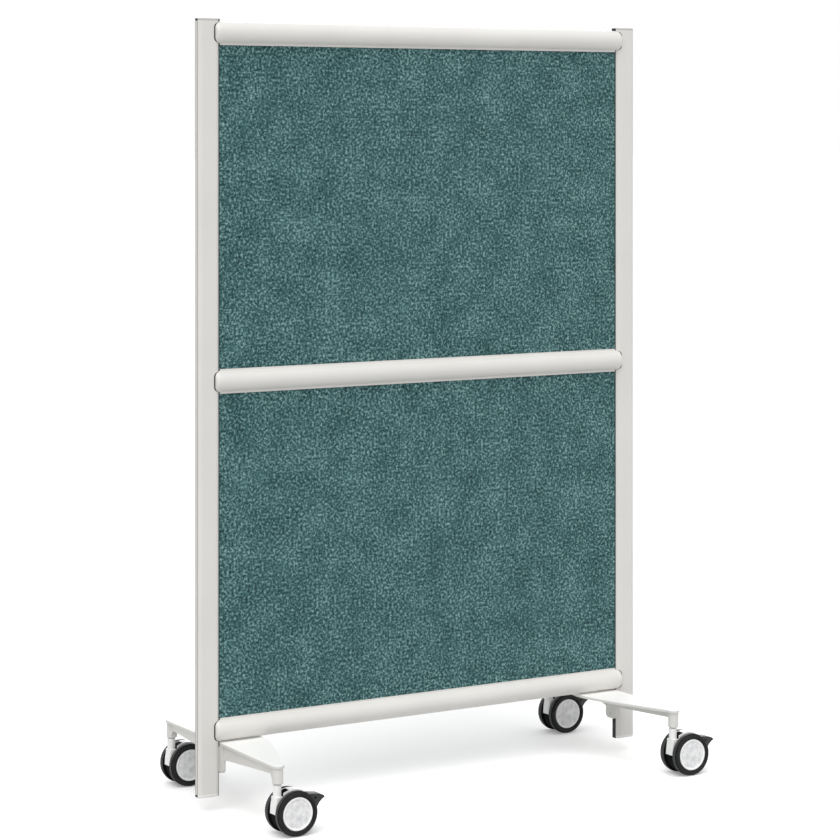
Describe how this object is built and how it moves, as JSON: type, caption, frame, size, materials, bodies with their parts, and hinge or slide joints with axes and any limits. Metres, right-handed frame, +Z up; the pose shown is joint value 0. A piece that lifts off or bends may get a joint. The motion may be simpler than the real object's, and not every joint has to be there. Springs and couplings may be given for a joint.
{
  "type": "mobile partition wall",
  "caption": "Free-standing rolling partition wall with fabric-covered panels between posts and rails, on feet with braked twin-wheel swivel casters.",
  "frame": {"origin": "on the floor, midway between the two posts and midway between the front and rear caster stems", "axes": "+X along the wall's width to the right, +Y from the front face to the back, +Z up"},
  "size_m": [1.2747, 0.6066, 1.829],
  "materials": {
    "frame_coat": "satin powder coat",
    "foot_coat": "satin powder coat",
    "cap_plastic": "matte",
    "cover_plastic": "matte",
    "panel_board": "raw fibreboard",
    "teal_fabric": "heather weave",
    "black_rubber": "matte",
    "black_tyre": "matte",
    "grey_disc": "satin",
    "black_plastic": "satin",
    "caster_light": "satin",
    "steel": "zinc plated"
  },
  "bodies": {
    "wall_frame": {"left_post": "frame_coat", "right_post": "frame_coat", "left_post_top_cap": "cap_plastic", "right_post_top_cap": "cap_plastic", "left_post_bottom_cap": "cap_plastic", "right_post_bottom_cap": "cap_plastic", "left_slot_cover": "cover_plastic", "right_slot_cover": "cover_plastic", "slot_infills": "black_rubber", "top_rail": "frame_coat", "middle_rail": "frame_coat", "bottom_rail": "frame_coat", "top_rail_end_caps": "cap_plastic", "middle_rail_end_caps": "cap_plastic", "bottom_rail_end_caps": "cap_plastic", "rail_saddles": "black_rubber", "rail_bolts": "steel", "upper_panel_core": "panel_board", "lower_panel_core": "panel_board", "upper_fabric_front": "teal_fabric", "upper_fabric_back": "teal_fabric", "lower_fabric_front": "teal_fabric", "lower_fabric_back": "teal_fabric", "panel_gaskets": "black_rubber", "left_foot": "foot_coat", "right_foot": "foot_coat", "foot_bolts": "steel", "caster_stems": "steel"},
    "front_left_caster": {"front_left_caster_arm": "caster_light", "front_left_caster_core": "black_plastic", "front_left_caster_axle": "steel"},
    "front_left_brake_pedal": {"front_left_brake_pedal": "black_plastic"},
    "front_left_outer_wheel": {"front_left_outer_tyre": "black_tyre", "front_left_outer_hub": "grey_disc"},
    "front_left_inner_wheel": {"front_left_inner_tyre": "black_tyre", "front_left_inner_hub": "grey_disc"},
    "rear_left_caster": {"rear_left_caster_arm": "caster_light", "rear_left_caster_core": "black_plastic", "rear_left_caster_axle": "steel"},
    "rear_left_brake_pedal": {"rear_left_brake_pedal": "black_plastic"},
    "rear_left_outer_wheel": {"rear_left_outer_tyre": "black_tyre", "rear_left_outer_hub": "grey_disc"},
    "rear_left_inner_wheel": {"rear_left_inner_tyre": "black_tyre", "rear_left_inner_hub": "grey_disc"},
    "front_right_caster": {"front_right_caster_arm": "caster_light", "front_right_caster_core": "black_plastic", "front_right_caster_axle": "steel"},
    "front_right_brake_pedal": {"front_right_brake_pedal": "black_plastic"},
    "front_right_outer_wheel": {"front_right_outer_tyre": "black_tyre", "front_right_outer_hub": "grey_disc"},
    "front_right_inner_wheel": {"front_right_inner_tyre": "black_tyre", "front_right_inner_hub": "grey_disc"},
    "rear_right_caster": {"rear_right_caster_arm": "caster_light", "rear_right_caster_core": "black_plastic", "rear_right_caster_axle": "steel"},
    "rear_right_brake_pedal": {"rear_right_brake_pedal": "black_plastic"},
    "rear_right_outer_wheel": {"rear_right_outer_tyre": "black_tyre", "rear_right_outer_hub": "grey_disc"},
    "rear_right_inner_wheel": {"rear_right_inner_tyre": "black_tyre", "rear_right_inner_hub": "grey_disc"}
  },
  "joints": [
    {"name": "front_left_caster_swivel", "type": "hinge", "parent": "wall_frame", "child": "front_left_caster", "pos_m": [-0.5462, -0.2685, 0.095], "axis": [0, 0, 1], "continuous": true},
    {"name": "front_left_brake_press", "type": "hinge", "parent": "front_left_caster", "child": "front_left_brake_pedal", "pos_m": [-0.4862, -0.2685, 0.068], "axis": [0, 1, 0], "range_deg": [0, 12]},
    {"name": "front_left_outer_wheel_spin", "type": "hinge", "parent": "front_left_caster", "child": "front_left_outer_wheel", "pos_m": [-0.5122, -0.2933, 0.0508], "axis": [0, 1, 0], "continuous": true},
    {"name": "front_left_inner_wheel_spin", "type": "hinge", "parent": "front_left_caster", "child": "front_left_inner_wheel", "pos_m": [-0.5122, -0.2437, 0.0508], "axis": [0, 1, 0], "continuous": true},
    {"name": "rear_left_caster_swivel", "type": "hinge", "parent": "wall_frame", "child": "rear_left_caster", "pos_m": [-0.5462, 0.2685, 0.095], "axis": [0, 0, 1], "continuous": true},
    {"name": "rear_left_brake_press", "type": "hinge", "parent": "rear_left_caster", "child": "rear_left_brake_pedal", "pos_m": [-0.4862, 0.2685, 0.068], "axis": [0, 1, 0], "range_deg": [0, 12]},
    {"name": "rear_left_outer_wheel_spin", "type": "hinge", "parent": "rear_left_caster", "child": "rear_left_outer_wheel", "pos_m": [-0.5122, 0.2437, 0.0508], "axis": [0, 1, 0], "continuous": true},
    {"name": "rear_left_inner_wheel_spin", "type": "hinge", "parent": "rear_left_caster", "child": "rear_left_inner_wheel", "pos_m": [-0.5122, 0.2933, 0.0508], "axis": [0, 1, 0], "continuous": true},
    {"name": "front_right_caster_swivel", "type": "hinge", "parent": "wall_frame", "child": "front_right_caster", "pos_m": [0.5462, -0.2685, 0.095], "axis": [0, 0, 1], "continuous": true},
    {"name": "front_right_brake_press", "type": "hinge", "parent": "front_right_caster", "child": "front_right_brake_pedal", "pos_m": [0.6062, -0.2685, 0.068], "axis": [0, 1, 0], "range_deg": [0, 12]},
    {"name": "front_right_outer_wheel_spin", "type": "hinge", "parent": "front_right_caster", "child": "front_right_outer_wheel", "pos_m": [0.5802, -0.2933, 0.0508], "axis": [0, 1, 0], "continuous": true},
    {"name": "front_right_inner_wheel_spin", "type": "hinge", "parent": "front_right_caster", "child": "front_right_inner_wheel", "pos_m": [0.5802, -0.2437, 0.0508], "axis": [0, 1, 0], "continuous": true},
    {"name": "rear_right_caster_swivel", "type": "hinge", "parent": "wall_frame", "child": "rear_right_caster", "pos_m": [0.5462, 0.2685, 0.095], "axis": [0, 0, 1], "continuous": true},
    {"name": "rear_right_brake_press", "type": "hinge", "parent": "rear_right_caster", "child": "rear_right_brake_pedal", "pos_m": [0.6062, 0.2685, 0.068], "axis": [0, 1, 0], "range_deg": [0, 12]},
    {"name": "rear_right_outer_wheel_spin", "type": "hinge", "parent": "rear_right_caster", "child": "rear_right_outer_wheel", "pos_m": [0.5802, 0.2437, 0.0508], "axis": [0, 1, 0], "continuous": true},
    {"name": "rear_right_inner_wheel_spin", "type": "hinge", "parent": "rear_right_caster", "child": "rear_right_inner_wheel", "pos_m": [0.5802, 0.2933, 0.0508], "axis": [0, 1, 0], "continuous": true}
  ]
}
